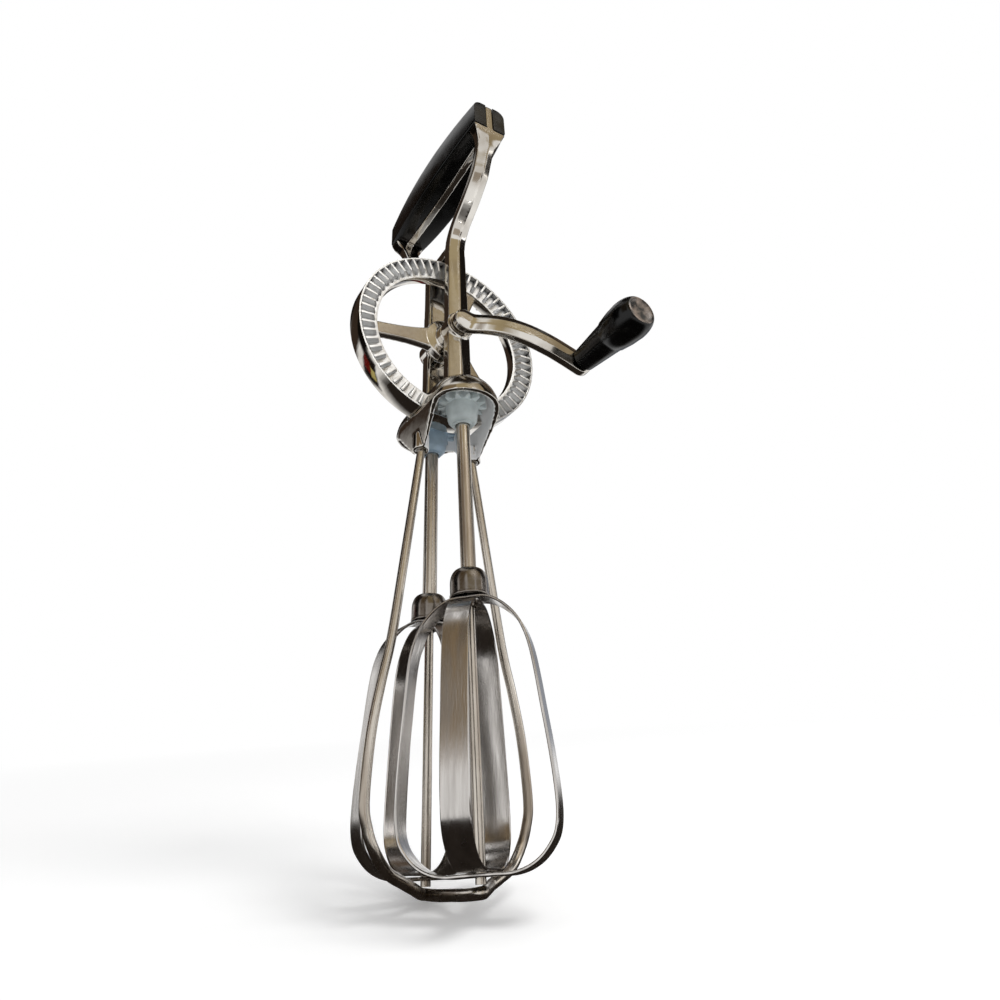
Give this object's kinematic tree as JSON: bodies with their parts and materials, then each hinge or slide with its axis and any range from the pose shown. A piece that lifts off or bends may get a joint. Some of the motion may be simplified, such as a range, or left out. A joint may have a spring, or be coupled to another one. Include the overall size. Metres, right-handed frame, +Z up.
{
  "type": "rotary egg beater",
  "caption": "Hand cranked rotary egg beater: a crown wheel drives two crossed-blade beaters that turn opposite ways, hung from a D-shaped hand grip",
  "frame": {"origin": "the middle of the hand grip", "axes": "+Z up along the beater, Y along the hand grip and the wheel's axle with the crank on the -Y side, +X to the right seen from the crank"},
  "size_m": [0.0889, 0.1049, 0.2818],
  "materials": {
    "chrome_plate": "bright chrome plate on a zinc casting",
    "plated_zinc": "bright plate on cast teeth",
    "polished_steel": "drawn wire and tube, satin",
    "stainless_strip": "rolled stainless strip",
    "darkened_steel": "dark nickel",
    "black_plastic": "polished black moulding",
    "pale_nylon": "moulded, semi-matt",
    "blue_grey_nylon": "moulded, semi-matt"
  },
  "bodies": {
    "frame": {"frame_casting": "chrome_plate", "grip_half_left": "black_plastic", "grip_half_right": "black_plastic", "grip_pin_near": "polished_steel", "grip_pin_far": "polished_steel", "wire_frame": "polished_steel", "near_pivot_rod": "polished_steel", "far_pivot_rod": "polished_steel"},
    "drive": {"drive_wheel": "plated_zinc", "axle": "polished_steel", "rear_washer": "polished_steel", "crank_washer": "polished_steel", "crank_arm": "chrome_plate", "knob_pin": "polished_steel"},
    "knob": {"crank_knob": "black_plastic"},
    "near_beater": {"near_pinion": "pale_nylon", "near_tube": "polished_steel", "near_cap": "darkened_steel", "near_outer_blade": "stainless_strip", "near_inner_blade": "stainless_strip"},
    "far_beater": {"far_pinion": "blue_grey_nylon", "far_tube": "polished_steel", "far_cap": "darkened_steel", "far_outer_blade": "stainless_strip", "far_inner_blade": "stainless_strip"}
  },
  "joints": [
    {"name": "wheel_spin", "type": "hinge", "parent": "frame", "child": "drive", "pos_m": [0, 0, -0.0914], "axis": [0, 1, 0], "continuous": true},
    {"name": "knob_spin", "type": "hinge", "parent": "drive", "child": "knob", "pos_m": [0.04301, 0, -0.10496], "axis": [0, 1, 0], "continuous": true},
    {"name": "near_beater_spin", "type": "hinge", "parent": "frame", "child": "near_beater", "pos_m": [0, -0.01149, -0.12595], "axis": [0, 0.0244, 0.9997], "continuous": true},
    {"name": "far_beater_spin", "type": "hinge", "parent": "frame", "child": "far_beater", "pos_m": [0, 0.01149, -0.12595], "axis": [0, -0.0244, 0.9997], "continuous": true}
  ],
  "couplings": [
    {"joint": "near_beater_spin", "follows": "wheel_spin", "ratio": 4.6154},
    {"joint": "far_beater_spin", "follows": "wheel_spin", "ratio": -4.6154}
  ]
}
